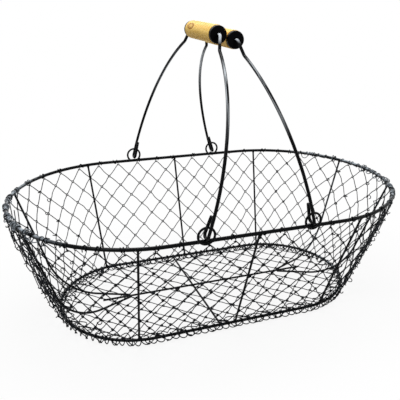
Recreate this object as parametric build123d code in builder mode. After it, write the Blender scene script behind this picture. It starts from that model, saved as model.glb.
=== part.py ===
from build123d import *
import os
from math import atan2, ceil, cos, degrees, hypot, pi, radians, sin, sqrt, tan

os.makedirs("parts", exist_ok=True)

# All sizes are in millimetres and degrees

# Ovals of the rim and the base ring, to the wire centres
straight_half = 77.0
rim_end_radius = 113.0
base_end_radius = 73.5
wall_height = 108.5

# Wire diameters
rim_wire = 3.2
base_wire = 2.8
rib_wire = 2.0
net_wire = 0.9
tie_wire = 0.9
lacing_wire = 1.2
eye_wire = 2.0
bail_wire = 2.8

# Clearances
weld_gap = 0.1
net_gap = 0.2
swing_gap = 0.4
run_gap = 0.3
grip_clearance = 0.08
grips_apart = 0.6

# Ribs, keel wire and cross wire
outer_rib_turn = 12.0
end_rib_turn = 23.0
end_rib_bend = 50.0
keel_rise = 2.6
keel_half = 110.0
feet_meet_x = 78.0
cross_x = -15.0

# Side net
side_columns = 7
end_columns = 16
net_rows = 5
net_bend = 1.2
net_overlap = 1.3

# Bottom net
floor_mesh = 22.0
floor_net_edge = 1.4
smallest_gap_area = 24.0

# Base lacing
lacing_pitch = 7.0
lacing_drop = 6.1
lacing_flat = 0.5
coil_probe = 0.001
arc_samples = 8
arcs_apart = 3

# Bail eyes
eye_x = 47.5
eye_diameter = 16.0
eye_rise = 5.6

# Bails
bail_length = 150.0
right_grip_drop = 4.4
hook_bend = 3.0
hook_width = 8.5
tail_length = 18.0
tail_tip_gap = 2.4
leg_straight = 6.0
shoulder_start = 3.0
shoulder_slope = 60.0
shoulder_length = 14.0
kink_bend = 4.0
kink_straight = 0.4
top_bend = 4.0

# Grips and caps
grip_diameter = 16.0
grip_length = 60.0
grip_rounding = 0.8
cap_diameter = 15.2
cap_length = 4.0
cap_rounding = 1.2

# Heights of the two rings above the floor
base_z = lacing_drop + lacing_wire / 2 - lacing_flat
rim_z = base_z + wall_height

# Slope of the wall
wall_angle = atan2(rim_end_radius - base_end_radius, wall_height)
wall_slant = hypot(rim_end_radius - base_end_radius, wall_height)


def outward(angle):
    return Vector(cos(angle), sin(angle), 0)


def along(angle):
    return Vector(-sin(angle), cos(angle), 0)


def wall_normal(angle):
    return outward(angle) * cos(wall_angle) - Vector(0, 0, sin(wall_angle))


def wall_up(angle):
    return outward(angle) * sin(wall_angle) + Vector(0, 0, cos(wall_angle))


def base_point(x, angle):
    return Vector(x, 0, base_z) + outward(angle) * base_end_radius


def rim_point(x, angle):
    return Vector(x, 0, rim_z) + outward(angle) * rim_end_radius


def oval(radius):
    Line((-straight_half, -radius), (straight_half, -radius))
    ThreePointArc((straight_half, -radius), (straight_half + radius, 0), (straight_half, radius))
    Line((straight_half, radius), (-straight_half, radius))
    ThreePointArc((-straight_half, radius), (-straight_half - radius, 0), (-straight_half, -radius))


# Top rim
with BuildPart() as top_rim:
    with BuildLine(Plane.XY.offset(rim_z)) as rim_path:
        oval(rim_end_radius)
    with BuildSketch(Plane(rim_path.line @ 0, z_dir=rim_path.line % 0)):
        Circle(rim_wire / 2)
    sweep()
top_rim.part.label = "top_rim"
export_step(top_rim.part, "parts/top_rim.step")

# Base ring
with BuildPart() as base_ring:
    with BuildLine(Plane.XY.offset(base_z)) as base_path:
        oval(base_end_radius)
    with BuildSketch(Plane(base_path.line @ 0, z_dir=base_path.line % 0)):
        Circle(base_wire / 2)
    sweep()
base_ring.part.label = "base_ring"
export_step(base_ring.part, "parts/base_ring.step")

# Side ribs, butted between the base ring and the rim
rib_from = base_wire / 2 + weld_gap
rib_span = wall_slant - rim_wire / 2 - weld_gap - rib_from
outer_turn = radians(outer_rib_turn)
side_ribs = {
    "rib_front_left": (-straight_half, -pi / 2 - outer_turn),
    "rib_front_middle": (0, -pi / 2),
    "rib_front_right": (straight_half, -pi / 2 + outer_turn),
    "rib_back_right": (straight_half, pi / 2 - outer_turn),
    "rib_back_middle": (0, pi / 2),
    "rib_back_left": (-straight_half, pi / 2 + outer_turn),
}
for rib_name, (rib_x, rib_angle) in side_ribs.items():
    rib_foot = base_point(rib_x, rib_angle) + wall_up(rib_angle) * rib_from
    with BuildPart() as side_rib:
        with BuildSketch(Plane(rib_foot, z_dir=wall_up(rib_angle))):
            Circle(rib_wire / 2)
        extrude(amount=rib_span)
    side_rib.part.label = rib_name
    export_step(side_rib.part, f"parts/{rib_name}.step")

# Keel wire along the floor
keel_z = base_z + keel_rise
with BuildPart() as keel_wire:
    with BuildSketch(Plane((0, 0, keel_z), z_dir=(1, 0, 0))):
        Circle(rib_wire / 2)
    extrude(amount=keel_half, both=True)
keel_wire.part.label = "keel_wire"
export_step(keel_wire.part, "parts/keel_wire.step")

# Cross wire under the keel, butted into the base ring
cross_z = keel_z - rib_wire - weld_gap
cross_half = base_end_radius - base_wire / 2 - weld_gap
with BuildPart() as cross_wire:
    with BuildSketch(Plane((cross_x, 0, cross_z), z_dir=(0, 1, 0))):
        Circle(rib_wire / 2)
    extrude(amount=cross_half, both=True)
cross_wire.part.label = "cross_wire"
export_step(cross_wire.part, "parts/cross_wire.step")

# End ribs, from the rim down the wall and in over the floor to the keel
end_turn = radians(end_rib_turn)
end_ribs = {
    "end_rib_right_front": (1, -end_turn),
    "end_rib_right_back": (1, end_turn),
    "end_rib_left_back": (-1, pi - end_turn),
    "end_rib_left_front": (-1, pi + end_turn),
}
for rib_name, (end_side, rib_angle) in end_ribs.items():
    corner = base_point(end_side * straight_half, rib_angle) + wall_up(rib_angle) * keel_rise / cos(wall_angle)
    rim_joint = rim_point(end_side * straight_half, rib_angle)
    keel_joint = Vector(end_side * feet_meet_x, 0, keel_z)
    up_way = wall_up(rib_angle)
    foot_way = (keel_joint - corner).normalized()
    bend_tangent = end_rib_bend / tan(radians(up_way.get_angle(foot_way)) / 2)
    foot_stop = (rib_wire / 2 + weld_gap + rib_wire / 2 * abs(foot_way.X)) / abs(foot_way.Y)
    rib_top = rim_joint - up_way * (rim_wire / 2 + weld_gap)
    bend_from = corner + up_way * bend_tangent
    bend_to = corner + foot_way * bend_tangent
    rib_end = keel_joint - foot_way * foot_stop
    with BuildPart() as end_rib:
        with BuildLine() as end_rib_path:
            Line(rib_top, bend_from)
            TangentArc(bend_from, bend_to, tangent=-up_way)
            Line(bend_to, rib_end)
        with BuildSketch(Plane(rib_top, z_dir=-up_way)):
            Circle(rib_wire / 2)
        sweep()
    end_rib.part.label = rib_name
    export_step(end_rib.part, f"parts/{rib_name}.step")

# Stations of the side net: two strands to a column, all round the wall
end_step = pi / (2 * end_columns)
side_step = straight_half / side_columns
net_panels = {
    "net_front": [(-straight_half + (i + 0.5) * side_step, -pi / 2) for i in range(2 * side_columns)],
    "net_right_end": [(straight_half, -pi / 2 + (i + 0.5) * end_step) for i in range(2 * end_columns)],
    "net_back": [(straight_half - (i + 0.5) * side_step, pi / 2) for i in range(2 * side_columns)],
    "net_left_end": [(-straight_half, pi / 2 + (i + 0.5) * end_step) for i in range(2 * end_columns)],
}

# Loop round the rim and coil round the base ring that the net stays clear of
tie_radius = rim_wire / 2 + tie_wire / 2 + net_gap
lacing_top = base_wire / 2 + lacing_wire / 2 + net_gap
lacing_radius = (lacing_drop + lacing_top) / 2
lacing_low = (lacing_drop - lacing_top) / 2

# Lap of neighbouring strands, and the net's distance from the ribs
strand_lap = (net_wire + net_gap) / 2
base_half_strand = base_end_radius * tan(end_step / 2)
rim_half_strand = rim_end_radius * tan(end_step / 2)
side_tilt = degrees(atan2(strand_lap, side_step / 2))
end_tilt = degrees(atan2(strand_lap, base_half_strand))
largest_lap = strand_lap * (rim_half_strand + net_overlap) / base_half_strand
net_offset = rib_wire / 2 + net_gap + largest_lap + net_wire / 2

# Ends of the strands under the rim ties and over the lacing
inner_offset = net_offset - largest_lap
tie_reach = tie_radius + tie_wire / 2 + net_gap + net_wire / 2
lacing_reach = lacing_radius + lacing_wire / 2 + net_gap + net_wire / 2
lacing_side = inner_offset - lacing_low * sin(wall_angle)
strand_top = wall_slant - sqrt(max(tie_reach**2 - inner_offset**2, 0))
strand_bottom = sqrt(lacing_reach**2 - lacing_side**2) - lacing_low * cos(wall_angle)


def net_strand(low_half, high_half, first_side, tilt):
    bends = []
    for bend in range(2 * net_rows + 1):
        height = strand_bottom + (strand_top - strand_bottom) * bend / (2 * net_rows)
        half = low_half + (high_half - low_half) * height / wall_slant + net_overlap
        bends.append((first_side * (-1) ** bend * half, height))
    with BuildPart() as strand:
        with BuildLine(Plane.XY.rotated((0, -tilt, 0))) as strand_path:
            FilletPolyline(*bends, radius=net_bend)
        with BuildSketch(Plane(strand_path.line @ 0, z_dir=strand_path.line % 0)):
            Circle(net_wire / 2)
        sweep()
    return strand.part


def on_wall(x, angle):
    origin = base_point(x, angle) + wall_normal(angle) * net_offset
    return Plane(origin, x_dir=along(angle), z_dir=wall_normal(angle)).location


side_strands = [net_strand(side_step / 2, side_step / 2, way, side_tilt) for way in (1, -1)]
end_strands = [net_strand(base_half_strand, rim_half_strand, way, end_tilt) for way in (1, -1)]

# Side net panels
for panel_name, stations in net_panels.items():
    strands = end_strands if panel_name.endswith("end") else side_strands
    with BuildPart() as net_panel:
        with Locations(*[on_wall(*station) for station in stations[0::2]]):
            add(strands[0])
        with Locations(*[on_wall(*station) for station in stations[1::2]]):
            add(strands[1])
    net_panel.part.label = panel_name
    export_step(net_panel.part, f"parts/{panel_name}.step")

# Rim ties over the top bends of the net, except at the middle ribs and the eyes
tie_stations = []
for column in range(side_columns):
    column_x = -straight_half + (2 * column + 1) * side_step
    at_rib = abs(column_x) < rib_wire
    at_eye = abs(abs(column_x) - eye_x) < eye_diameter / 2
    if not at_rib and not at_eye:
        tie_stations.append((column_x, -pi / 2))
        tie_stations.append((column_x, pi / 2))
for column in range(end_columns):
    column_turn = (2 * column + 1) * end_step
    tie_stations.append((straight_half, -pi / 2 + column_turn))
    tie_stations.append((-straight_half, pi / 2 + column_turn))
with BuildPart() as rim_ties:
    with Locations(*[Plane(rim_point(*tie), z_dir=along(tie[1])).location for tie in tie_stations]):
        Torus(tie_radius, tie_wire / 2)
rim_ties.part.label = "rim_ties"
export_step(rim_ties.part, "parts/rim_ties.step")

# Bottom net: a flat sheet of wire width with diamond gaps
floor_net_z = cross_z - rib_wire / 2 - net_gap - net_wire
floor_net_radius = base_end_radius - lacing_radius - lacing_wire / 2 - net_gap
gap_radius = floor_net_radius - floor_net_edge
gap_side = floor_mesh / sqrt(2) - net_wire
gaps_long = 2 * ceil((straight_half + gap_radius) / floor_mesh) + 1
gaps_wide = 2 * ceil(gap_radius / floor_mesh) + 1
with BuildSketch() as floor_gaps:
    with GridLocations(floor_mesh, floor_mesh, gaps_long, gaps_wide):
        Rectangle(gap_side, gap_side, rotation=45)
    with GridLocations(floor_mesh, floor_mesh, gaps_long + 1, gaps_wide + 1):
        Rectangle(gap_side, gap_side, rotation=45)
    SlotCenterToCenter(2 * straight_half, 2 * gap_radius, mode=Mode.INTERSECT)
with BuildPart() as bottom_net:
    with BuildSketch(Plane.XY.offset(floor_net_z)):
        SlotCenterToCenter(2 * straight_half, 2 * floor_net_radius)
        for gap in floor_gaps.sketch.faces().filter_by(lambda face: face.area > smallest_gap_area):
            add(gap, mode=Mode.SUBTRACT)
    extrude(amount=net_wire)
bottom_net.part.label = "bottom_net"
export_step(bottom_net.part, "parts/bottom_net.step")

# Stations along the base ring, by length from the left end of the front side
side_run = 2 * straight_half
end_run = pi * base_end_radius
turn_run = base_end_radius * outer_turn
foot_run = base_end_radius * end_turn


def ring_station(run):
    run = run % (2 * side_run + 2 * end_run)
    if run < side_run:
        return (-straight_half + run, -pi / 2)
    run = run - side_run
    if run < end_run:
        return (straight_half, -pi / 2 + run / base_end_radius)
    run = run - end_run
    if run < side_run:
        return (straight_half - run, pi / 2)
    return (-straight_half, pi / 2 + (run - side_run) / base_end_radius)


# Lengths of lacing from one welded wire to the next
back_from = side_run + end_run
left_from = 2 * side_run + end_run
lacing_stops = {
    "base_lacing_front": [
        -turn_run,
        straight_half + cross_x,
        straight_half,
        side_run + turn_run,
    ],
    "base_lacing_right_end": [
        side_run + turn_run,
        side_run + end_run / 2 - foot_run,
        side_run + end_run / 2 + foot_run,
        back_from - turn_run,
    ],
    "base_lacing_back": [
        back_from - turn_run,
        back_from + straight_half,
        back_from + straight_half - cross_x,
        left_from + turn_run,
    ],
    "base_lacing_left_end": [
        left_from + turn_run,
        left_from + end_run / 2 - foot_run,
        left_from + end_run / 2 + foot_run,
        left_from + end_run - turn_run,
    ],
}
lacing_stop_gap = rib_wire / 2 + lacing_wire / 2 + net_gap + weld_gap


def lacing_point(run, turn):
    station = ring_station(run)
    centre = base_point(*station) - Vector(0, 0, lacing_low)
    return centre + outward(station[1]) * lacing_radius * cos(turn) + Vector(0, 0, lacing_radius * sin(turn))


def lacing_coil(run_from, run_to):
    turns = max(1, round((run_to - run_from) / lacing_pitch))
    points = []
    ways = []
    for half_turn in range(2 * turns + 1):
        share = half_turn / (2 * turns)
        before = share - coil_probe
        after = share + coil_probe
        spots = []
        for part_way in (before, share, after):
            run = run_from + (run_to - run_from) * part_way
            spots.append(lacing_point(run, pi + 2 * pi * turns * part_way))
        points.append(spots[1])
        ways.append((spots[2] - spots[0]).normalized())
    return points, ways


def meeting_point(start, start_way, end, end_way):
    reach = end - start
    both = start_way + end_way
    bend = 2 * (1 - start_way.dot(end_way))
    way_reach = reach.dot(both)
    handle = (sqrt(way_reach**2 + bend * reach.dot(reach)) - way_reach) / bend
    return (start + start_way * handle + end - end_way * handle) * 0.5


# Base lacing, cut flat where the basket stands on it
least_gap = lacing_pitch
for lacing_name, stops in lacing_stops.items():
    with BuildPart() as base_lacing:
        for stop, next_stop in zip(stops, stops[1:]):
            coil_points, coil_ways = lacing_coil(stop + lacing_stop_gap, next_stop - lacing_stop_gap)
            with BuildLine() as coil_path:
                for i in range(len(coil_points) - 1):
                    middle = meeting_point(coil_points[i], coil_ways[i], coil_points[i + 1], coil_ways[i + 1])
                    TangentArc(coil_points[i], middle, tangent=coil_ways[i])
                    TangentArc(middle, coil_points[i + 1], tangent=-coil_ways[i + 1], tangent_from_first=False)
            with BuildSketch(Plane(coil_points[0], z_dir=coil_ways[0])):
                Circle(lacing_wire / 2)
            sweep()
            coil_edges = coil_path.edges()
            samples = [edge @ (k / arc_samples) for edge in coil_edges for k in range(arc_samples)]
            for i in range(len(samples)):
                for j in range(i + arc_samples * arcs_apart, len(samples)):
                    least_gap = min(least_gap, (samples[i] - samples[j]).length - lacing_wire)
        split(bisect_by=Plane.XY, keep=Keep.TOP)
    base_lacing.part.label = lacing_name
    export_step(base_lacing.part, f"parts/{lacing_name}.step")
print("least gap of the lacing to itself", round(least_gap, 2))

# Bail eyes on the outside of the rim
eye_y = rim_end_radius + rim_wire / 2 + weld_gap + eye_wire / 2
eye_z = rim_z + eye_rise
eyes = {
    "eye_front_left": (-eye_x, -eye_y),
    "eye_front_right": (eye_x, -eye_y),
    "eye_back_right": (eye_x, eye_y),
    "eye_back_left": (-eye_x, eye_y),
}
for eye_name, (this_x, this_y) in eyes.items():
    with BuildPart() as eye:
        with Locations(Plane((this_x, this_y, eye_z), z_dir=(0, 1, 0)).location):
            Torus((eye_diameter - eye_wire) / 2, eye_wire / 2)
    eye.part.label = eye_name
    export_step(eye.part, f"parts/{eye_name}.step")

# Bail hinge line, and the places of the two grips, which lean on each other with the right one lower
hinge_z = rim_z + rim_wire / 2 + bail_wire / 2 + run_gap
grip_pitch = grip_diameter + grips_apart
left_grip_x = -grip_pitch / 2
left_grip_z = hinge_z + sqrt(bail_length**2 - (eye_x + left_grip_x) ** 2)
right_grip_x = left_grip_x + sqrt(grip_pitch**2 - right_grip_drop**2)
right_grip_z = left_grip_z - right_grip_drop
grip_spots = {
    "left": (-1, left_grip_x, left_grip_z),
    "right": (1, right_grip_x, right_grip_z),
}

# Hook, tail and shoulder of a bail, across from its middle
leg_y = eye_y + eye_wire / 2 + swing_gap + bail_wire / 2
tail_y = leg_y - hook_width
tail_tip_y = leg_y - bail_wire - tail_tip_gap
slope = radians(shoulder_slope)
top_y = grip_length / 2 + cap_length + shoulder_start
kink_y = top_y + shoulder_length * cos(slope)

# Bails, each in the plane through its hinge line and its grip
for side_name, (end_side, grip_x, grip_z) in grip_spots.items():
    bail_way = Vector(grip_x - end_side * eye_x, 0, grip_z - hinge_z)
    top_h = bail_way.length
    kink_h = top_h - shoulder_length * sin(slope)
    bow_slope = 2 * atan2(kink_h - hook_bend - leg_straight, leg_y - kink_y) - pi / 2
    kink_run = kink_bend * tan((slope - bow_slope) / 2) + kink_straight
    bow_y = kink_y + kink_run * cos(bow_slope)
    bow_h = kink_h - kink_run * sin(bow_slope)
    bow_radius = (leg_y - bow_y) / (1 - sin(bow_slope))
    bow_start = bow_h - bow_radius * cos(bow_slope)
    bow_half_turn = (pi / 2 - bow_slope) / 2
    bow_mid_y = leg_y - bow_radius * (1 - cos(bow_half_turn))
    bow_mid_h = bow_start + bow_radius * sin(bow_half_turn)
    bail_plane = Plane((end_side * eye_x, 0, hinge_z), x_dir=(0, 1, 0), z_dir=Vector(0, 1, 0).cross(bail_way))
    tail_end = bail_plane.from_local_coords(Vector(-tail_tip_y, tail_length, 0))
    tail_way = bail_plane.from_local_coords(Vector(-tail_y, 0, 0)) - tail_end
    with BuildPart() as bail:
        with BuildLine(bail_plane) as bail_path:
            for way in (-1, 1):
                FilletPolyline(
                    (way * tail_tip_y, tail_length),
                    (way * tail_y, 0),
                    (way * leg_y, 0),
                    (way * leg_y, bow_start),
                    radius=hook_bend,
                )
                ThreePointArc((way * leg_y, bow_start), (way * bow_mid_y, bow_mid_h), (way * bow_y, bow_h))
            FilletPolyline(
                (-bow_y, bow_h),
                (-kink_y, kink_h),
                (-top_y, top_h),
                (top_y, top_h),
                (kink_y, kink_h),
                (bow_y, bow_h),
                radius=(kink_bend, top_bend, top_bend, kink_bend),
            )
        with BuildSketch(Plane(tail_end, z_dir=tail_way)):
            Circle(bail_wire / 2)
        sweep()
    bail.part.label = f"{side_name}_bail"
    export_step(bail.part, f"parts/{side_name}_bail.step")

# Wooden grips, free to turn on the bails, and their end caps
bore_radius = bail_wire / 2 + grip_clearance
for side_name, (end_side, grip_x, grip_z) in grip_spots.items():
    with BuildPart() as grip:
        with BuildSketch(Plane((grip_x, 0, grip_z), z_dir=(0, 1, 0))):
            Circle(grip_diameter / 2)
            Circle(bore_radius, mode=Mode.SUBTRACT)
        extrude(amount=grip_length / 2, both=True)
        fillet(grip.edges().filter_by(GeomType.CIRCLE).sort_by(SortBy.RADIUS)[-2:], grip_rounding)
    grip.part.label = f"{side_name}_grip"
    export_step(grip.part, f"parts/{side_name}_grip.step")
    for cap_name, way in (("front", -1), ("back", 1)):
        with BuildPart() as cap:
            with BuildSketch(Plane((grip_x, way * grip_length / 2, grip_z), z_dir=(0, way, 0))):
                Circle(cap_diameter / 2)
                Circle(bore_radius, mode=Mode.SUBTRACT)
            extrude(amount=cap_length)
            outer_edges = cap.edges().filter_by(GeomType.CIRCLE).sort_by(SortBy.RADIUS)[-2:]
            fillet(outer_edges.sort_by(Axis.Y)[0 if way < 0 else -1], cap_rounding)
        cap.part.label = f"{side_name}_cap_{cap_name}"
        export_step(cap.part, f"parts/{side_name}_cap_{cap_name}.step")
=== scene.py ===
import math
import random

import bpy
import numpy as np
from mathutils import Matrix, Vector


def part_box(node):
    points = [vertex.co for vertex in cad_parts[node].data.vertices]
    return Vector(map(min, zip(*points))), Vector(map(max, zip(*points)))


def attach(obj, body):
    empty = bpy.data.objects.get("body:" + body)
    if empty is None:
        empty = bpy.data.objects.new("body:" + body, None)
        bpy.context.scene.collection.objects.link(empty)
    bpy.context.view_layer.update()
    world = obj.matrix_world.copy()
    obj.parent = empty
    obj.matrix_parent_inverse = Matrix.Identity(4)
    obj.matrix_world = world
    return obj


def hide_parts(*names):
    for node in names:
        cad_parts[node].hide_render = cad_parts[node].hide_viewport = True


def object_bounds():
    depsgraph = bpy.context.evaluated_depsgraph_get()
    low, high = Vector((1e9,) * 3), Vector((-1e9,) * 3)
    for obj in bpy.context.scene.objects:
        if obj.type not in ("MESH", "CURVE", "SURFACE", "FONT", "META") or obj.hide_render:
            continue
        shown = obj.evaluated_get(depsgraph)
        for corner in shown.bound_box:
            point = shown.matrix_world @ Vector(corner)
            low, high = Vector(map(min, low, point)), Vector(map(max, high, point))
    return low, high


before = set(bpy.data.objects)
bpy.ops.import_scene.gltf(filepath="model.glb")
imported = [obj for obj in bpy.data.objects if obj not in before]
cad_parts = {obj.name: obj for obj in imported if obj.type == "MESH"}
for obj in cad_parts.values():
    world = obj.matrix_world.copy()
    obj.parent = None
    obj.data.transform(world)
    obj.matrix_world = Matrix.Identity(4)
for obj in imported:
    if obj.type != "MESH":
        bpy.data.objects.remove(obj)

bl_info = {
    "name": "Wire Harvest Basket",
    "version": (1, 0, 0),
    "blender": (4, 5, 0),
    "location": "View3D > Sidebar > Basket",
    "description": "Dresses the packed frame of an oval wire harvest basket",
    "category": "Object",
}

MM = 0.001
CAD_BOX = [list(corner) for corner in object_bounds()]

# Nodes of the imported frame, by what they are
RIBS = [
    "rib_front_left", "rib_front_middle", "rib_front_right",
    "rib_back_right", "rib_back_middle", "rib_back_left",
]
END_RIBS = [
    "end_rib_right_front", "end_rib_right_back", "end_rib_left_back", "end_rib_left_front",
]
EYES = ["eye_front_left", "eye_front_right", "eye_back_right", "eye_back_left"]
FRAME_WIRES = ["top_rim", "base_ring", "keel_wire", "cross_wire"] + RIBS + END_RIBS + EYES
BAILS = ["left_bail", "right_bail"]

# Corners round a thin wire
WIRE_SIDES = 6

# Nose of a bend in the net: along it, up it, and towards the strand's front or back
NOSE = (
    (-0.5, -0.95, 1.0), (0.45, -0.7, 0.8), (1.0, 0.0, 0.0), (0.45, 0.7, -0.8), (-0.5, 0.95, -1.0),
)

# Where a strand's straight leg begins past a bend, and how much flatter it leaves than it runs
LEG = 3.2 * MM
LEG_FLATTER = 0.86

# A Mix node's colour inputs, which share their names with others
COLOUR_A, COLOUR_B = 6, 7
WHITE = (1.0, 1.0, 1.0, 1.0)


def linear(hex_colour):
    """An sRGB hex colour as linear red, green and blue."""
    values = []
    for start in (0, 2, 4):
        part = int(hex_colour[start:start + 2], 16) / 255
        values.append(part / 12.92 if part <= 0.04045 else ((part + 0.055) / 1.055) ** 2.4)
    return tuple(values)


# Ovals of the rim and the base ring, read from the frame: wire radius, end radius and height
rim_low, rim_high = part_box("top_rim")
ring_low, ring_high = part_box("base_ring")
RIM_WIRE = (rim_high.z - rim_low.z) / 2
RING_WIRE = (ring_high.z - ring_low.z) / 2
RIM_RADIUS = rim_high.y - RIM_WIRE
RING_RADIUS = ring_high.y - RING_WIRE
HALF_SIDE = rim_high.x - rim_high.y
RIM_Z = (rim_low.z + rim_high.z) / 2
RING_Z = (ring_low.z + ring_high.z) / 2

# The wall between them: length up the slope and lean from upright
SLANT = math.hypot(RIM_RADIUS - RING_RADIUS, RIM_Z - RING_Z)
LEAN = math.atan2(RIM_RADIUS - RING_RADIUS, RIM_Z - RING_Z)

# Lengths of the base ring along a side and round an end
SIDE_RUN = 2 * HALF_SIDE
END_RUN = math.pi * RING_RADIUS


class BasketNetSettings(bpy.types.PropertyGroup):
    """Sizes of the thin wires"""

    net_wire: bpy.props.FloatProperty(
        name="Net wire", description="Diameter of the net's wire",
        default=0.88 * MM, unit="LENGTH", precision=5)
    side_columns: bpy.props.IntProperty(
        name="Side columns", description="Meshes along each straight side", default=7, min=3)
    end_columns: bpy.props.IntProperty(
        name="End columns", description="Meshes round each end", default=16, min=6)
    rows: bpy.props.IntProperty(
        name="Rows", description="Meshes up the wall", default=5, min=2)
    hook_reach: bpy.props.FloatProperty(
        name="Hook reach", description="How far a bend passes the line on which it hooks",
        default=1.15 * MM, unit="LENGTH", precision=5)
    hook_half: bpy.props.FloatProperty(
        name="Hook half height", description="Half the height of the nose of a bend",
        default=1.05 * MM, unit="LENGTH", precision=5)
    lift: bpy.props.FloatProperty(
        name="Net lift", description="Distance of the net's middle from the rib line",
        default=2.2 * MM, unit="LENGTH", precision=5)
    drift: bpy.props.FloatProperty(
        name="Drift", description="How far a hand-hooked bend strays from its place",
        default=0.9 * MM, unit="LENGTH", precision=5)
    floor_mesh: bpy.props.FloatProperty(
        name="Floor mesh", description="Width of a mesh of the bottom net",
        default=22 * MM, unit="LENGTH", precision=5)
    lacing_wire: bpy.props.FloatProperty(
        name="Lacing wire", description="Diameter of the wire laced round the base ring",
        default=1.0 * MM, unit="LENGTH", precision=5)
    lacing_drop: bpy.props.FloatProperty(
        name="Lacing drop", description="How far the loops hang below the middle of the base ring",
        default=5.6 * MM, unit="LENGTH", precision=5)
    lacing_pitch: bpy.props.FloatProperty(
        name="Lacing pitch", description="Length of base ring to one turn of lacing",
        default=7.0 * MM, unit="LENGTH", precision=5)
    seed: bpy.props.IntProperty(
        name="Seed", description="Start of the random draws", default=7)


class BasketFinishSettings(bpy.types.PropertyGroup):
    """Colours of the finishes"""

    lacquer: bpy.props.FloatVectorProperty(
        name="Lacquer", description="Black lacquer on the frame wires",
        subtype="COLOR", size=3, default=linear("050608"))
    # Pale grey painted on the bails as highlights along their legs and as a glint where they leave
    # the caps
    bail_painted_highlight: bpy.props.FloatVectorProperty(
        name="Bail highlight", description="Lacquer of the bails where highlights are painted pale",
        subtype="COLOR", size=3, default=linear("BCC2C7"))
    # Pale grey painted as highlights on the upper side of the rim and on its wraps near the tips
    rim_painted_highlight: bpy.props.FloatVectorProperty(
        name="Rim highlight", description="Lacquer and wire painted pale as highlights at the tips of the rim",
        subtype="COLOR", size=3, default=linear("8E969D"))
    net: bpy.props.FloatVectorProperty(
        name="Net", description="Annealed black wire of the net",
        subtype="COLOR", size=3, default=linear("080A0D"))
    net_pale: bpy.props.FloatVectorProperty(
        name="Net scale", description="Paler scale on the net's wire",
        subtype="COLOR", size=3, default=linear("1A2027"))
    wood: bpy.props.FloatVectorProperty(
        name="Wood", description="Early wood of the grips",
        subtype="COLOR", size=3, default=linear("E0BD6B"))
    wood_dark: bpy.props.FloatVectorProperty(
        name="Late wood", description="Late wood of the grips",
        subtype="COLOR", size=3, default=linear("BE9038"))
    wood_knot: bpy.props.FloatVectorProperty(
        name="Knot", description="Knot in the wood of the grips",
        subtype="COLOR", size=3, default=linear("7A4806"))
    cap: bpy.props.FloatVectorProperty(
        name="Cap", description="Moulded end caps",
        subtype="COLOR", size=3, default=linear("030304"))


class BasketStageSettings(bpy.types.PropertyGroup):
    """Camera and light"""

    azimuth: bpy.props.FloatProperty(
        name="Azimuth", description="Way round the basket to the camera",
        default=math.radians(-21.72), unit="ROTATION")
    elevation: bpy.props.FloatProperty(
        name="Elevation", description="Height of the camera as an angle",
        default=math.radians(21.06), unit="ROTATION")
    roll: bpy.props.FloatProperty(
        name="Roll", description="Turn of the picture",
        default=math.radians(1.35), unit="ROTATION")
    distance: bpy.props.FloatProperty(
        name="Distance", description="Camera to the middle of the basket",
        default=545.1 * MM, unit="LENGTH")
    aim: bpy.props.FloatProperty(
        name="Aim", description="Height of the point that the camera looks at",
        default=102.0 * MM, unit="LENGTH")
    lens: bpy.props.FloatProperty(
        name="Lens", description="Focal length on a 36 mm sensor in millimetres", default=49.23)
    shift: bpy.props.FloatProperty(
        name="Shift", description="Sideways shift of the picture", default=-0.0228)
    soft_light: bpy.props.FloatProperty(
        name="Soft light", description="Strength of the even light from all round", default=0.25)
    floor: bpy.props.FloatVectorProperty(
        name="Floor", description="Floor and backdrop",
        subtype="COLOR", size=3, default=linear("B8B8B8"))


def add_node(tree, kind, settings=None, links=None):
    """Adds a node, sets its values by attribute or input name, and links its inputs.

    A link comes from a socket, or from a node by the first output that it has in use.
    """
    node = tree.nodes.new(kind)
    for name, value in (settings or {}).items():
        if isinstance(name, str) and hasattr(node, name):
            setattr(node, name, value)
        else:
            node.inputs[name].default_value = value
    for name, source in (links or {}).items():
        if isinstance(source, bpy.types.Node):
            source = next(output for output in source.outputs if output.enabled)
        tree.links.new(source, node.inputs[name])
    return node


def new_finish(name):
    """An empty node material, and the node for a surface point's place in millimetres."""
    finish = bpy.data.materials.new(name)
    finish.use_nodes = True
    tree = finish.node_tree
    tree.nodes.clear()
    place = add_node(
        tree, "ShaderNodeVectorMath", {"operation": "SCALE", "Scale": 1 / MM},
        {"Vector": add_node(tree, "ShaderNodeTexCoord").outputs["Object"]})
    return finish, tree, place


def colour(values):
    """Red, green and blue with the fourth value that a colour socket takes."""
    return (*values, 1.0)


def white_rays(tree):
    """1 for the rays that show the white studio: straight, mirrored or through something clear."""
    rays = add_node(tree, "ShaderNodeLightPath")
    mirrored = add_node(
        tree, "ShaderNodeMath", {"operation": "MAXIMUM"},
        {0: rays.outputs["Is Camera Ray"], 1: rays.outputs["Is Glossy Ray"]})
    return add_node(
        tree, "ShaderNodeMath", {"operation": "MAXIMUM"},
        {0: mirrored, 1: rays.outputs["Is Transmission Ray"]})


def towards_ends(tree, place):
    """0 along the basket's sides, rising to 1 at its ends, and reaching further in on the right."""
    spot = add_node(tree, "ShaderNodeSeparateXYZ", {}, {"Vector": place})
    moved = add_node(tree, "ShaderNodeMath", {"operation": "ADD", 1: 7.0}, {0: spot.outputs["X"]})
    way = add_node(tree, "ShaderNodeMath", {"operation": "ABSOLUTE"}, {0: moved})
    return add_node(
        tree, "ShaderNodeMapRange", {"From Min": 142.0, "From Max": 171.0}, {"Value": way})


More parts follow.
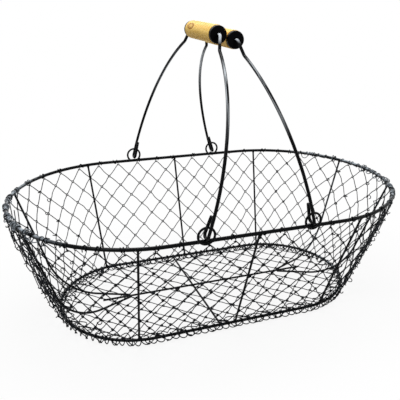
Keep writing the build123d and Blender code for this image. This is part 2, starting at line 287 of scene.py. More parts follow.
def lacquered_wire(name, for_bails):
    """Drawn steel wire dipped in black lacquer.

    It has a deep gloss. Pale grey is painted on as highlight: streaks on the bails' legs, a glint
    where they leave the caps, and blotches on the upper side near the rim's tips.
    """
    look = bpy.context.scene.basket_finish
    finish, tree, place = new_finish(name)
    normal = add_node(tree, "ShaderNodeTexCoord").outputs["Normal"]
    upward = add_node(tree, "ShaderNodeSeparateXYZ", {}, {"Vector": normal}).outputs["Z"]
    above = add_node(
        tree, "ShaderNodeMapRange", {"From Min": 0.1, "From Max": 0.5 if for_bails else 0.75},
        {"Value": upward})
    if for_bails:
        # Painted highlight streaks keep to one side of the wire, about 1.5 mm wide, and change
        # along it
        #         every 50 mm or so. They lie on the legs of the bails, below the shoulders.
        round_wire = add_node(
            tree, "ShaderNodeVectorMath", {"operation": "SCALE", "Scale": 1.2}, {"Vector": normal})
        marks = add_node(
            tree, "ShaderNodeVectorMath",
            {"operation": "MULTIPLY_ADD", 1: (1 / 50, 1 / 50, 1 / 50)},
            {0: place, 2: round_wire})
        height = add_node(tree, "ShaderNodeSeparateXYZ", {}, {"Vector": place}).outputs["Z"]
        legs = add_node(
            tree, "ShaderNodeMapRange", {"From Min": 190.0, "From Max": 225.0}, {"Value": height})
        shoulders = add_node(
            tree, "ShaderNodeMapRange",
            {"From Min": 238.0, "From Max": 246.0, "To Min": 1.0, "To Max": 0.0},
            {"Value": height})
        highlight_place = add_node(
            tree, "ShaderNodeMath", {"operation": "MULTIPLY"}, {0: legs, 1: shoulders})
    else:
        # Painted highlight: blotches about 9 mm wide on the upper side of the wire, towards the two
        # ends
        marks = add_node(
            tree, "ShaderNodeVectorMath", {"operation": "SCALE", "Scale": 1 / 9.0},
            {"Vector": place})
        highlight_place = add_node(
            tree, "ShaderNodeMath", {"operation": "MULTIPLY"},
            {0: towards_ends(tree, place), 1: above})
    painted_highlight = add_node(
        tree, "ShaderNodeTexNoise",
        {"Scale": 1.0, "Detail": 2.0 if for_bails else 5.0, "Roughness": 0.6},
        {"Vector": marks})
    highlight_mask = add_node(
        tree, "ShaderNodeMapRange", {"From Min": 0.44, "From Max": 0.62}, {"Value": painted_highlight})
    painted_highlight_share = add_node(tree, "ShaderNodeMath", {"operation": "MULTIPLY"}, {0: highlight_mask, 1: highlight_place})
    if for_bails:
        # A glint is painted on the upper side of the wire where it leaves the caps
        at_cap = add_node(
            tree, "ShaderNodeMapRange", {"From Min": 256.0, "From Max": 260.5}, {"Value": height})
        painted_highlight_share = add_node(
            tree, "ShaderNodeMath", {"operation": "MULTIPLY_ADD", "use_clamp": True},
            {0: at_cap, 1: above, 2: painted_highlight_share})
    paint = add_node(
        tree, "ShaderNodeMix",
        {"data_type": "RGBA", COLOUR_A: colour(look.lacquer),
         COLOUR_B: colour(look.bail_painted_highlight if for_bails else look.rim_painted_highlight)},
        {"Factor": painted_highlight_share})
    # Runs in the lacquer, about 2.2 mm wide
    runs = add_node(
        tree, "ShaderNodeTexNoise", {"Scale": 1 / 2.2, "Detail": 3.0}, {"Vector": place})
    rough = add_node(tree, "ShaderNodeMapRange", {"To Min": 0.16, "To Max": 0.34}, {"Value": runs})
    bump = add_node(
        tree, "ShaderNodeBump", {"Strength": 0.25, "Distance": 0.15 * MM}, {"Height": runs})
    shader = add_node(
        tree, "ShaderNodeBsdfPrincipled", {"IOR": 1.5, "Specular IOR Level": 0.06},
        {"Base Color": paint, "Roughness": rough, "Normal": bump})
    add_node(tree, "ShaderNodeOutputMaterial", {}, {"Surface": shader})
    return finish


def annealed_wire(name, painted_highlight):
    """Thin soft iron wire, annealed and dipped black.

    It is satin with paler scale, or, on the rim wraps, has pale grey highlight painted on towards
    the tips.
    """
    look = bpy.context.scene.basket_finish
    finish, tree, place = new_finish(name)
    # Patches about 5 mm wide: paler scale on the net, painted highlight on the rim wraps
    scale = add_node(
        tree, "ShaderNodeTexNoise", {"Scale": 1 / 5.0, "Detail": 4.0, "Roughness": 0.6},
        {"Vector": place})
    pale = add_node(
        tree, "ShaderNodeMapRange",
        {"From Min": 0.42 if painted_highlight else 0.45, "From Max": 0.62 if painted_highlight else 0.75},
        {"Value": scale})
    # On the rim wraps the patches are painted highlight, kept to the tips
    if painted_highlight:
        pale = add_node(
            tree, "ShaderNodeMath", {"operation": "MULTIPLY"},
            {0: pale, 1: towards_ends(tree, place)})
    paint = add_node(
        tree, "ShaderNodeMix",
        {"data_type": "RGBA", COLOUR_A: colour(look.net),
         COLOUR_B: colour(look.rim_painted_highlight if painted_highlight else look.net_pale)},
        {"Factor": pale})
    rough = add_node(tree, "ShaderNodeMapRange", {"To Min": 0.3, "To Max": 0.5}, {"Value": scale})
    shader = add_node(
        tree, "ShaderNodeBsdfPrincipled", {"IOR": 1.5, "Specular IOR Level": 0.05},
        {"Base Color": paint, "Roughness": rough})
    add_node(tree, "ShaderNodeOutputMaterial", {}, {"Surface": shader})
    return finish


def turned_wood(name, knot_place):
    """Pale turned softwood, sanded and lightly waxed.

    It has soft golden grain along the grip and one small ringed knot.
    """
    look = bpy.context.scene.basket_finish
    finish, tree, place = new_finish(name)
    # Grain is drawn out along the grip: streaks about 3 mm wide and 60 mm long, coarser than real
    # so that they show
    drawn_out = add_node(
        tree, "ShaderNodeVectorMath", {"operation": "MULTIPLY", 1: (1.0, 0.05, 1.0)}, {0: place})
    # Turning cuts the knot at a slant, so it is drawn out along the grip too
    slanted = (1.0, 0.4, 1.0)
    knot_space = add_node(
        tree, "ShaderNodeVectorMath", {"operation": "MULTIPLY", 1: slanted}, {0: place})
    knot_way = add_node(
        tree, "ShaderNodeVectorMath",
        {"operation": "DISTANCE", 1: knot_place * Vector(slanted)}, {0: knot_space})
    # The grain flows round the knot
    near_knot = add_node(
        tree, "ShaderNodeMapRange",
        {"From Min": 1.0, "From Max": 6.0, "To Min": 3.0, "To Max": 0.0}, {"Value": knot_way})
    pushed = add_node(
        tree, "ShaderNodeVectorMath", {"operation": "ADD"}, {0: drawn_out, 1: near_knot})
    streaks = add_node(
        tree, "ShaderNodeTexNoise", {"Scale": 1 / 3.0, "Detail": 2.0, "Roughness": 0.45},
        {"Vector": pushed})
    rings = add_node(
        tree, "ShaderNodeTexWave",
        {"wave_type": "BANDS", "bands_direction": "X", "Scale": 1 / 13.0, "Distortion": 4.0,
         "Detail": 2.0, "Detail Scale": 0.8},
        {"Vector": pushed})
    grain = add_node(
        tree, "ShaderNodeMath", {"operation": "MULTIPLY_ADD", 1: 0.3},
        {0: rings.outputs["Fac"], 2: streaks})
    grain_share = add_node(
        tree, "ShaderNodeMapRange", {"From Min": 0.3, "From Max": 1.1}, {"Value": grain})
    wood = add_node(
        tree, "ShaderNodeMix",
        {"data_type": "RGBA", COLOUR_A: colour(look.wood), COLOUR_B: colour(look.wood_dark)},
        {"Factor": grain_share})
    # The knot is darkest in a ring about 5 mm across and paler in its middle
    knot_out = add_node(
        tree, "ShaderNodeMapRange",
        {"From Min": 2.7, "From Max": 3.6, "To Min": 1.0, "To Max": 0.0}, {"Value": knot_way})
    knot_in = add_node(
        tree, "ShaderNodeMapRange",
        {"From Min": 0.8, "From Max": 2.4, "To Min": 0.2, "To Max": 0.78}, {"Value": knot_way})
    knot = add_node(tree, "ShaderNodeMath", {"operation": "MULTIPLY"}, {0: knot_out, 1: knot_in})
    paint = add_node(
        tree, "ShaderNodeMix", {"data_type": "RGBA", COLOUR_B: colour(look.wood_knot)},
        {"Factor": knot, COLOUR_A: wood})
    bump = add_node(
        tree, "ShaderNodeBump", {"Strength": 0.04, "Distance": 0.1 * MM}, {"Height": streaks})
    rough = add_node(
        tree, "ShaderNodeMapRange", {"To Min": 0.45, "To Max": 0.6}, {"Value": streaks})
    shader = add_node(
        tree, "ShaderNodeBsdfPrincipled", {"IOR": 1.5, "Specular IOR Level": 0.05},
        {"Base Color": paint, "Roughness": rough, "Normal": bump})
    add_node(tree, "ShaderNodeOutputMaterial", {}, {"Surface": shader})
    return finish


def moulded_cap(name):
    """Black moulded plastic: an even gloss with a faint moulded texture."""
    look = bpy.context.scene.basket_finish
    finish, tree, place = new_finish(name)
    # Grains about 0.8 mm wide, coarser than real so that they show
    texture = add_node(
        tree, "ShaderNodeTexNoise", {"Scale": 1 / 0.8, "Detail": 2.0}, {"Vector": place})
    rough = add_node(
        tree, "ShaderNodeMapRange", {"To Min": 0.28, "To Max": 0.4}, {"Value": texture})
    bump = add_node(
        tree, "ShaderNodeBump", {"Strength": 0.1, "Distance": 0.05 * MM}, {"Height": texture})
    shader = add_node(
        tree, "ShaderNodeBsdfPrincipled",
        {"Base Color": colour(look.cap), "IOR": 1.5, "Specular IOR Level": 0.03},
        {"Roughness": rough, "Normal": bump})
    add_node(tree, "ShaderNodeOutputMaterial", {}, {"Surface": shader})
    return finish


# Finishes that several operators use: name, maker and the flag that picks which painted highlights
# it carries
FRAME_FINISH = ("black_lacquered_steel_wire", lacquered_wire, False)
NET_FINISH = ("black_annealed_iron_wire", annealed_wire, False)


def finish_named(name, maker, *values):
    """A finish by name, made at its first use."""
    return bpy.data.materials.get(name) or maker(name, *values)


def smooth_line(points, steps):
    """Points along a Catmull-Rom line through the given points."""
    points = np.asarray(points, float)
    padded = np.concatenate(
        [2 * points[:1] - points[1:2], points, 2 * points[-1:] - points[-2:-1]])
    shares = np.arange(steps) / steps
    out = []
    for before, start, end, after in zip(padded, padded[1:], padded[2:], padded[3:]):
        for t in shares:
            out.append(0.5 * (2 * start + (end - before) * t
                              + (2 * before - 5 * start + 4 * end - after) * t ** 2
                              + (3 * start - before - 3 * end + after) * t ** 3))
    out.append(points[-1])
    return np.array(out)


def add_wire(mesh_data, line, diameter):
    """Adds a round wire along a line, closed at both ends, to a list of corners and faces."""
    corners, faces = mesh_data
    line = np.asarray(line, float)
    ways = np.gradient(line, axis=0)
    ways /= np.linalg.norm(ways, axis=1)[:, None]
    side = np.cross(ways[0], (0.0, 0.0, 1.0))
    if np.linalg.norm(side) < 1e-6:
        side = np.cross(ways[0], (0.0, 1.0, 0.0))
    angles = 2 * math.pi * np.arange(WIRE_SIDES) / WIRE_SIDES
    first = len(corners)
    for spot, way in zip(line, ways):
        side = side - way * side.dot(way)
        side /= np.linalg.norm(side)
        other = np.cross(way, side)
        ring = np.cos(angles)[:, None] * side + np.sin(angles)[:, None] * other
        corners.extend(map(tuple, spot + diameter / 2 * ring))
    for step in range(len(line) - 1):
        low = first + step * WIRE_SIDES
        high = low + WIRE_SIDES
        for k in range(WIRE_SIDES):
            nxt = (k + 1) % WIRE_SIDES
            faces.append((low + k, low + nxt, high + nxt, high + k))
    faces.append(tuple(first + k for k in reversed(range(WIRE_SIDES))))
    last = first + (len(line) - 1) * WIRE_SIDES
    faces.append(tuple(last + k for k in range(WIRE_SIDES)))


def new_object(name, data):
    """A new object, put into the scene."""
    made = bpy.data.objects.new(name, data)
    bpy.context.scene.collection.objects.link(made)
    return made


def make_piece(name, mesh_data, finish, body, replaced=()):
    """A smooth mesh piece that rides on a body and stands for the named nodes."""
    mesh = bpy.data.meshes.new(name)
    mesh.from_pydata(mesh_data[0], [], mesh_data[1])
    mesh.validate()
    mesh.shade_smooth()
    mesh.materials.append(finish)
    piece = new_object(name, mesh)
    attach(piece, body)
    if replaced:
        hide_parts(*replaced)
    return piece


def dress_node(name, finish):
    """Gives a node of the frame its finish and smooth shading."""
    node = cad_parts[name]
    node.data.materials.clear()
    node.data.materials.append(finish)
    node.data.shade_smooth()


def oval_way(run, side_run, end_run):
    """Spine point and outward angle at a run round the oval from the front's left end."""
    half_run = side_run + end_run
    run = run % (2 * half_run)
    at_back = run >= half_run
    if at_back:
        run -= half_run
    if run < side_run:
        x, angle = -HALF_SIDE + 2 * HALF_SIDE * run / side_run, -math.pi / 2
    else:
        x, angle = HALF_SIDE, -math.pi / 2 + math.pi * (run - side_run) / end_run
    return (-x, angle + math.pi) if at_back else (x, angle)


def line_counts():
    """How many net lines there are along a side and round an end."""
    net = bpy.context.scene.basket_net
    return 2 * net.side_columns, 2 * net.end_columns


def net_line(line):
    """Spine point and outward angle of a net line counted round the wall."""
    return oval_way(line, *line_counts())


def end_line(end, share):
    """The net line at a share of the way round the right or the left end."""
    side_lines, end_lines = line_counts()
    first = side_lines if end == "right" else 2 * side_lines + end_lines
    return first + share * end_lines


def line_width(line, up):
    """Distance between neighbouring net lines at a height."""
    side_lines, end_lines = line_counts()
    if line % (side_lines + end_lines) < side_lines:
        return 2 * HALF_SIDE / side_lines
    return (RING_RADIUS + up * math.sin(LEAN)) * math.pi / end_lines


def end_share(line):
    """0 on the straight sides, rising to 1 at the tips of the ends."""
    return math.cos(net_line(line)[1]) ** 2


def wall_reach(angle):
    """How far from the spine a thin wire's middle may stand without leaving the frame's box."""
    spare = bpy.context.scene.basket_net.net_wire / 2 + 0.2 * MM
    across = (CAD_BOX[1][0] - HALF_SIDE - spare) / max(abs(math.cos(angle)), 0.5)
    return min(across, CAD_BOX[1][1] - spare)


def wall_room(line, up):
    """How far off the rib line a thin wire may stand at a place on the wall."""
    angle = net_line(line)[1]
    return (wall_reach(angle) - RING_RADIUS - up * math.sin(LEAN)) / math.cos(LEAN)


def wall_spot(line, up, out):
    """A point on the wall: net line, way up the slope from the base ring, way off the rib line."""
    x, angle = net_line(line)
    radius = RING_RADIUS + up * math.sin(LEAN) + out * math.cos(LEAN)
    radius = min(radius, wall_reach(angle))
    height = RING_Z + up * math.cos(LEAN) - out * math.sin(LEAN)
    return np.array((x + radius * math.cos(angle), radius * math.sin(angle), height))


def rim_spot(line, radius, roll):
    """A point round the rim's wire: net line, distance from its middle and turn about it."""
    x, angle = net_line(line)
    reach = min(RIM_RADIUS + radius * math.cos(roll), wall_reach(angle))
    return x + reach * math.cos(angle), reach * math.sin(angle), RIM_Z + radius * math.sin(roll)


def ring_spot(run, out, rise):
    """A point off the base ring, by the length run along it from the front's left end."""
    x, angle = oval_way(run, SIDE_RUN, END_RUN)
    reach = RING_RADIUS + out
    return x + reach * math.cos(angle), reach * math.sin(angle), RING_Z + rise


class BASKET_OT_frame_wires(bpy.types.Operator):
    """Finish the rim, base ring, ribs, keel, cross wire and eyes"""

    bl_idname = "basket.frame_wires"
    bl_label = "Frame Wires"

    def execute(self, context):
        # This finish paints pale highlight blotches on the upper side of the wires near the tips
        finish = finish_named(*FRAME_FINISH)
        for name in FRAME_WIRES:
            dress_node(name, finish)
        return {"FINISHED"}


class BASKET_OT_bails(bpy.types.Operator):
    """Finish the bails"""

    bl_idname = "basket.bails"
    bl_label = "Bails"

    def execute(self, context):
        # This finish paints highlight streaks on the bails' legs and a glint at the caps
        finish = finish_named("rubbed_lacquered_steel_wire", lacquered_wire, True)
        for name in BAILS:
            dress_node(name, finish)
        return {"FINISHED"}


def leg_spot(stop, other, unit, off):
    """The start of the straight leg from one bend towards another."""
    side = (other[0] - stop[0]) * unit
    rise = other[1] - stop[1]
    length = math.hypot(side, rise)
    return (
        stop[0] + side / length * LEG / unit, stop[1] + rise / length * LEG * LEG_FLATTER,
        stop[2] + off)


def hooked_strand(stops, place, width, net, draw):
    """Middle line of one flattened spiral.

    Its stops are bends: across, up, out and the way the nose points.
    """
    lap = 0.55 * net.net_wire
    last = len(stops) - 1
    path = []
    for number, stop in enumerate(stops):
        across, up, out, way = stop
        unit = width(across, up)
        if number > 0:
            path.append(place(*leg_spot(stop, stops[number - 1], unit, way * lap)))
        for along, rise, front in NOSE:
            if number == 0 and rise < 0 or number == last and rise > 0:
                continue
            path.append(place(
                across + way * along * net.hook_reach / unit, up + rise * net.hook_half,
                out + front * way * lap))
        if number < last:
            after = stops[number + 1]
            path.append(place(*leg_spot(stop, after, unit, -way * lap)))
            bend = draw.gauss(0, 0.4) * MM
            path.append(place(
                (across + after[0]) / 2 + bend / unit, (up + after[1]) / 2,
                (out + after[2]) / 2 - way * lap))
    return smooth_line(path, 2)


def net_knots(net):
    """Where the side net hooks together, by line and step.

    Each knot is its stray across, its height up the wall and its bulge.
    """
    draw = random.Random(net.seed)
    steps = 2 * net.rows
    foot = -4.9 * MM
    top = SLANT - RIM_WIRE - 1.0 * MM
    most_bulge = 3.5 * MM
    hook_room = 0.6 * MM
    knots = {}
    for line in range(2 * sum(line_counts())):
        share = end_share(line)
        stray = net.drift * (0.7 + 0.7 * share)
        for step in range(steps + 1):
            if (line + step) % 2 == 0:
                continue
            free = 0.0 if step in (0, steps) else 1.0
            aside = draw.gauss(0, 0.5) * stray * (0.4 + 0.6 * free)
            rise = draw.gauss(0, 0.5) * stray * free
            up = foot + (top - foot) * step / steps + rise
            room = max(0.0, wall_room(line, up) - net.lift - hook_room)
            bulge = min(abs(draw.gauss(0, 1.5)) * MM * share * free, most_bulge, room)
            knots[line, step] = (aside, up, bulge)
    return knots


class BASKET_OT_side_net(bpy.types.Operator):
    """Hook the side net together from flattened spirals of thin wire"""

    bl_idname = "basket.side_net"
    bl_label = "Side Net"

    def execute(self, context):
        net = context.scene.basket_net
        draw = random.Random(net.seed + 10)
        knots = net_knots(net)
        finish = finish_named(*NET_FINISH)
        side_lines, end_lines = line_counts()
        panels = (
            ("net_front", side_lines), ("net_right_end", end_lines),
            ("net_back", side_lines), ("net_left_end", end_lines),
        )
        first = 0
        for name, count in panels:
            data = ([], [])
            for strand in range(first, first + count):
                stops = self.strand_stops(net, knots, strand)
                line = hooked_strand(stops, wall_spot, line_width, net, draw)
                add_wire(data, line, net.net_wire)
            make_piece("hooked_" + name, data, finish, "basket", [name])
            first += count
        self.joins(net, knots, finish, draw)
        return {"FINISHED"}

    def strand_stops(self, net, knots, strand):
        """Bends of a strand, on its left line and its right line in turn."""
        lines = 2 * sum(line_counts())
        stops = []
        for step in range(2 * net.rows + 1):
            to_left = (strand + step) % 2 == 1
            line = strand if to_left else strand + 1
            aside, up, bulge = knots[line % lines, step]
            across = line + aside / line_width(strand + 0.5, up)
            stops.append((across, up, net.lift + bulge, -1.0 if to_left else 1.0))
        return stops

    def joins(self, net, knots, finish, draw):
        """A second layer over a few meshes at each end, where the net's ends lap and hook."""
        data = ([], [])
        for middle in (round(end_line("right", 0.31)), round(end_line("left", 0.44))):
            for strand in range(middle - 2, middle + 3):
                stops = []
                for across, up, out, way in self.strand_stops(net, knots, strand)[1:-1]:
                    shift = 0.5 + draw.gauss(0, 0.12)
                    rise = draw.gauss(0, 0.8) * MM
                    over = draw.uniform(1.4, 2.8) * MM
                    stops.append((across + shift, up + rise, out + over, way))
                line = hooked_strand(stops, wall_spot, line_width, net, draw)
                add_wire(data, line, net.net_wire)
            self.seam(data, net, draw, middle)
        make_piece("net_joins", data, finish, "basket")

    def seam(self, data, net, draw, line):
        """Two wires twisted together up the wall, with cut ends standing out of them in pairs."""
        low, high = 3.0 * MM, SLANT - 5.0 * MM
        twist = 0.62 * net.net_wire
        turns, turn_steps = 9, 8
        count = turns * turn_steps
        strays = [(draw.gauss(0, 0.9), draw.uniform(1.0, 2.4)) for _ in range(turns + 1)]
        strays = smooth_line(strays, turn_steps) * MM
        for start in (0.0, math.pi):
            points = []
            for k in range(count + 1):
                up = low + (high - low) * k / count
                unit = line_width(line, up)
                turn = start + 2 * math.pi * turns * k / count
                across = line + (strays[k][0] + twist * math.cos(turn)) / unit
                out = net.lift + strays[k][1] + twist * math.sin(turn)
                points.append(wall_spot(across, up, out))
            add_wire(data, points, net.net_wire)
        for k in range(5, count - 3, 5):
            up = low + (high - low) * k / count
            unit = line_width(line, up)
            for _ in range(draw.choice((1, 2, 2))):
                side = draw.uniform(-1, 1)
                rise = draw.uniform(-0.5, 1)
                length = draw.uniform(2.2, 4.2) * MM
                curl = draw.uniform(-1, 1)
                points = []
                for step in range(6):
                    share = step / 5
                    bend = curl * share ** 2
                    points.append(wall_spot(
                        line + (strays[k][0] + length * share * (side + 0.5 * bend)) / unit,
                        up + length * share * (rise - bend),
                        net.lift + strays[k][1] + length * math.sin(1.9 * share)))
                add_wire(data, points, net.net_wire)


class BASKET_OT_rim_wraps(bpy.types.Operator):
    """Wind the ends of the net round the rim"""

    bl_idname = "basket.rim_wraps"
    bl_label = "Rim Wraps"

    def execute(self, context):
        net = context.scene.basket_net
        draw = random.Random(net.seed + 1)
        data = ([], [])
        for line in range(1, 2 * sum(line_counts()), 2):
            share = end_share(line)
            loose = min(max((share - 0.4) / 0.4, 0.0), 1.0)
            way = draw.choice((-1, 1))
            turns = 1.15 + draw.uniform(0.0, 0.3) + 0.5 * share
            self.wrap(data, net, draw, line, way, turns, loose)
            # Round the ends, some wires are wound on beside the net's own
            if share > 0.3 and draw.random() < 0.3:
                turns = 1.0 + draw.uniform(0.0, 0.9)
                beside = line + 1 + draw.uniform(-0.3, 0.3)
                self.wrap(data, net, draw, beside, draw.choice((-1, 1)), turns, loose)
        self.swags(data, net, draw, end_line("right", 0.26), end_line("right", 0.8))
        self.swags(data, net, draw, end_line("left", 0.34), end_line("left", 0.74))
        # The wraps' finish paints pale highlight patches near the tips
        finish = finish_named("rubbed_annealed_iron_wire", annealed_wire, True)
        make_piece("rim_wraps", data, finish, "basket", ["rim_ties"])
        return {"FINISHED"}

    def swags(self, data, net, draw, first, last):
        """The net's edge wire round a tip of the rim.

        It takes one turn about the rim, then hangs in a slack swag below it, and so on.
        """
        tight = RIM_WIRE + net.net_wire / 2 + 0.1 * MM
        pitch = 11.0 * MM
        turn_steps = 8
        count = round((last - first) * line_width(first + 0.5, SLANT) / pitch)
        step = (last - first) / count
        points = []
        for number in range(count):
            begin = first + step * (number + draw.uniform(-0.15, 0.15))
            for k in range(turn_steps + 1):
                roll = math.radians(-60) + 2 * math.pi * k / turn_steps
                points.append(rim_spot(begin + 0.25 * step * k / turn_steps, tight, roll))
            drop = draw.uniform(3.0, 5.5) * MM
            side = math.radians(-90 + draw.choice((-25, 35, 50)))
            points.append(rim_spot(begin + 0.45 * step, drop, side))
            points.append(rim_spot(begin + 0.8 * step, drop * draw.uniform(0.7, 1.0), side))
        add_wire(data, smooth_line(points, 3), net.net_wire)

    def wrap(self, data, net, draw, line, way, turns, loose):
        """One winding: up from the net outside the rim, over the top and down inside."""
        tight = RIM_WIRE + net.net_wire / 2 + 0.05 * MM
        lead_in = 1.2 * MM
        slack = loose * max(0.0, draw.uniform(-0.5, 2.0)) * MM
        pitch = draw.uniform(2.2, 4.2) * MM
        unit = line_width(line, SLANT)
        points = []
        count = int(turns * 16)
        for k in range(count + 1):
            turn = turns * k / count
            roll = math.radians(-70) + 2 * math.pi * turn
            radius = tight + lead_in * math.exp(-turn / 0.1) + slack * math.sin(math.pi * k / count)
            points.append(rim_spot(line + way * turn * pitch / unit, radius, roll))
        add_wire(data, points, net.net_wire)


class BASKET_OT_loose_ends(bpy.types.Operator):
    """Curl the cut ends of the net's wires where they stand off the two ends"""

    bl_idname = "basket.loose_ends"
    bl_label = "Loose Ends"

    def execute(self, context):
        net = context.scene.basket_net
        draw = random.Random(net.seed + 4)
        knots = net_knots(net)
        chosen = [
            (line, step) for line, step in sorted(knots)
            if end_share(line) > 0.2 and 0 < step < 2 * net.rows
        ]
        loose_count, curl_steps = 90, 12
        data = ([], [])
        for line, step in draw.sample(chosen, loose_count):
            aside, up, bulge = knots[line, step]
            unit = line_width(line, up)
            room = max(0.0, wall_room(line, up) - net.lift - bulge)
            radius = min(draw.uniform(1.2, 2.6) * MM, 0.6 * MM + room / 2)
            tilt = draw.uniform(0, 2 * math.pi)
            turns = draw.uniform(0.55, 0.95)
            points = []
            for k in range(curl_steps + 1):
                turn = 2 * math.pi * turns * k / curl_steps
                out = net.lift + bulge + radius * (1 - math.cos(turn))
                run = radius * math.sin(turn) * (1 - 0.3 * k / curl_steps)
                across = line + (aside + run * math.cos(tilt)) / unit
                points.append(wall_spot(across, up + run * math.sin(tilt), out))
            add_wire(data, points, net.net_wire)
        make_piece("loose_ends", data, finish_named(*NET_FINISH), "basket")
        return {"FINISHED"}


class BASKET_OT_weld_beads(bpy.types.Operator):
    """Weld the ribs, floor wires and eyes to the rings with small lumpy beads"""

    bl_idname = "basket.weld_beads"
    bl_label = "Weld Beads"

    def execute(self, context):
        draw = random.Random(context.scene.basket_net.seed + 5)
        rib_bead, foot_bead, cross_bead, eye_bead = 1.5 * MM, 1.3 * MM, 1.4 * MM, 1.1 * MM
        data = ([], [])
        for name in RIBS:
            for spot in self.ends(name, 2):
                self.bead(data, draw, spot, rib_bead)
        for name in END_RIBS:
            self.bead(data, draw, self.ends(name, 2)[1], rib_bead)
            inner = 0 if name.endswith("back") else 1
            self.bead(data, draw, self.ends(name, 1)[inner], foot_bead)
        for spot in self.ends("cross_wire", 1):
            self.bead(data, draw, spot, cross_bead)
        for name in EYES:
            low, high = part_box(name)
            middle = (low + high) / 2
            side = 1 if middle.y > 0 else -1
            for away in (-1, 1):
                x = middle.x + away * 0.4 * (high.x - low.x)
                spot = Vector((x, side * (RIM_RADIUS + RIM_WIRE), RIM_Z))
                self.bead(data, draw, spot, eye_bead)
        make_piece("weld_beads", data, finish_named(*FRAME_FINISH), "basket")
        return {"FINISHED"}

    def ends(self, name, axis):
        """Middle of a wire's two end faces, the lower one first along an axis."""
        spots = [vertex.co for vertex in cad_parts[name].data.vertices]
        spots.sort(key=lambda spot: spot[axis])
        found = []
        for edge in (spots[0][axis], spots[-1][axis]):
            near = [spot for spot in spots if abs(spot[axis] - edge) < 0.8 * MM]
            found.append(sum(near, Vector()) / len(near))
        return found

    def bead(self, data, draw, middle, size):
        """A lumpy ball of weld."""
        corners, faces = data
        first = len(corners)
        around, rings = 9, 5
        corners.append((middle.x, middle.y, middle.z - size))
        for ring in range(1, rings):
            lat = math.pi * ring / rings - math.pi / 2
            for k in range(around):
                turn = 2 * math.pi * k / around
                radius = size * draw.uniform(0.82, 1.12)
                corners.append((
                    middle.x + radius * math.cos(lat) * math.cos(turn),
                    middle.y + radius * math.cos(lat) * math.sin(turn),
                    middle.z + radius * math.sin(lat)))
        corners.append((middle.x, middle.y, middle.z + size))
        last = len(corners) - 1
        for k in range(around):
            nxt = (k + 1) % around
            faces.append((first, first + 1 + nxt, first + 1 + k))
            for ring in range(rings - 2):
                low = first + 1 + ring * around
                faces.append((low + k, low + nxt, low + around + nxt, low + around + k))
            top = last - around
            faces.append((top + k, top + nxt, last))


class BASKET_OT_base_lacing(bpy.types.Operator):
    """Lace thin wire round the base ring in hanging loops"""

    bl_idname = "basket.base_lacing"
    bl_label = "Base Lacing"

    def execute(self, context):
        net = context.scene.basket_net
        draw = random.Random(net.seed + 2)
        finish = finish_named(*NET_FINISH)
        top = RING_WIRE + net.lacing_wire / 2 + 0.05 * MM
        turn_steps = 10
        lengths = (
            ("base_lacing_front", SIDE_RUN), ("base_lacing_right_end", END_RUN),
            ("base_lacing_back", SIDE_RUN), ("base_lacing_left_end", END_RUN),
        )
        start = 0.0
        for name, length in lengths:
            data = ([], [])
            turns = round(length / net.lacing_pitch)
            points = []
            for turn in range(turns):
                drop = net.lacing_drop * draw.uniform(0.86, 1.0)
                lean = draw.uniform(-0.3, -0.2)
                middle, half = (top - drop) / 2, (top + drop) / 2
                for k in range(turn_steps):
                    share = k / turn_steps
                    roll = math.pi / 2 + 2 * math.pi * share
                    leaning = turn + share + lean * math.sin(2 * math.pi * share)
                    points.append(ring_spot(
                        start + length * leaning / turns, half * 0.8 * math.cos(roll),
                        middle + half * math.sin(roll)))
            add_wire(data, smooth_line(points, 2), net.lacing_wire)
            make_piece("wound_" + name, data, finish, "basket", [name])
            start += length
        return {"FINISHED"}


class BASKET_OT_bottom_net(bpy.types.Operator):
    """Hook the bottom net together and end it at the base ring"""

    bl_idname = "basket.bottom_net"
    bl_label = "Bottom Net"

    def execute(self, context):
        net = context.scene.basket_net
        draw = random.Random(net.seed + 3)
        low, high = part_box("bottom_net")
        height = (low.z + high.z) / 2
        half_mesh = net.floor_mesh / 2
        reach = RING_RADIUS - RING_WIRE
        turned_up, edge_rise = 7 * MM, 2.0 * MM
        fewest_points = 12
        columns = int((HALF_SIDE + reach) / half_mesh)
        rows = int(reach / half_mesh) + 1
        knots = {}
        for column in range(-columns, columns + 1):
            for row in range(-rows, rows + 1):
                across = column * half_mesh + draw.gauss(0, 0.4) * net.drift
                along = row * half_mesh + draw.gauss(0, 0.4) * net.drift
                knots[column, row] = (across, along, height)
        data = ([], [])
        for strand in range(-columns, columns):
            stops = []
            for row in range(-rows, rows + 1):
                to_left = (strand + row) % 2 == 1
                knot = knots[strand if to_left else strand + 1, row]
                stops.append((*knot, -1.0 if to_left else 1.0))
            line = hooked_strand(stops, lambda *spot: spot, lambda *spot: 1.0, net, draw)
            over = np.maximum(np.abs(line[:, 0]) - HALF_SIDE, 0)
            edge = np.hypot(over, line[:, 1])
            inside = edge < reach
            # The outer few millimetres turn up to the ring
            line[:, 2] += np.clip((edge - reach + turned_up) / turned_up, 0, 1) ** 2 * edge_rise
            if inside.sum() > fewest_points:
                add_wire(data, line[inside], net.net_wire)
        self.edge_arcs(data, net, draw, height)
        finish = finish_named(*NET_FINISH)
        make_piece("hooked_bottom_net", data, finish, "basket", ["bottom_net"])
        return {"FINISHED"}

    def edge_arcs(self, data, net, draw, height):
        """Bends of the net's edge wire, which rise from the floor to the base ring and back."""
        length = 2 * (SIDE_RUN + END_RUN)
        count = round(length / (0.5 * net.floor_mesh))
        ring_rise, ring_gap, floor_gap = 1.9 * MM, 1.4 * MM, 0.6 * MM
        arc_steps = 10
        for k in range(count):
            start = length * (k + draw.uniform(-0.12, 0.12)) / count
            span = length / count * draw.uniform(0.95, 1.7)
            depth = draw.uniform(6.0, 11.0) * MM
            points = []
            for step in range(arc_steps + 1):
                share = step / arc_steps
                bow = math.sin(math.pi * share)
                rise = (1 - bow) * ring_rise + bow * (height + floor_gap - RING_Z)
                points.append(ring_spot(start + span * share, -ring_gap - depth * bow, rise))
            add_wire(data, points, net.net_wire)


